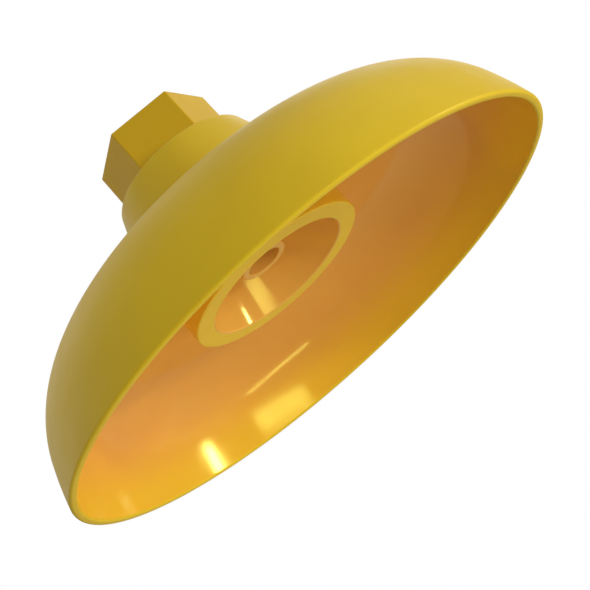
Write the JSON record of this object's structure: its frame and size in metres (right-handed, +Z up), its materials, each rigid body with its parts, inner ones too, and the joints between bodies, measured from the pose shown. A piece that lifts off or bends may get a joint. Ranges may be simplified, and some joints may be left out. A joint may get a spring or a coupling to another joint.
{
  "type": "drench shower head",
  "caption": "Plastic emergency drench-shower head: wide bell round a deep spray cup with a centre jet tube, on a hexagonal inlet with female pipe thread.",
  "frame": {"origin": "centre of the bell's rim, in the plane that the rim rests on", "axes": "+Z up the inlet axis, from the rim to the inlet's mouth; +X through a corner of the hexagon"},
  "size_m": [0.254, 0.254, 0.1194],
  "materials": {
    "bell_plastic": "glossy moulded safety yellow",
    "inlet_plastic": "satin moulded safety yellow",
    "cup_plastic": "glossy moulded safety yellow",
    "jet_plastic": "glossy moulded safety yellow",
    "control_plastic": "satin moulded blue-grey",
    "seal_rubber": "matte black",
    "disc_rubber": "matte black",
    "spring_steel": "bright stamped stainless"
  },
  "bodies": {
    "root": {"bell": "bell_plastic", "inlet_adapter": "inlet_plastic", "shoulder_gasket": "seal_rubber", "spray_cup": "cup_plastic", "clamp_washer": "seal_rubber", "cup_o_ring": "seal_rubber", "swirl_plate": "control_plastic", "jet_tube": "jet_plastic", "flow_control_body": "control_plastic", "flow_control_disc": "disc_rubber", "flow_control_cage": "control_plastic", "flow_control_o_ring": "seal_rubber", "retaining_ring": "spring_steel"}
  },
  "joints": []
}
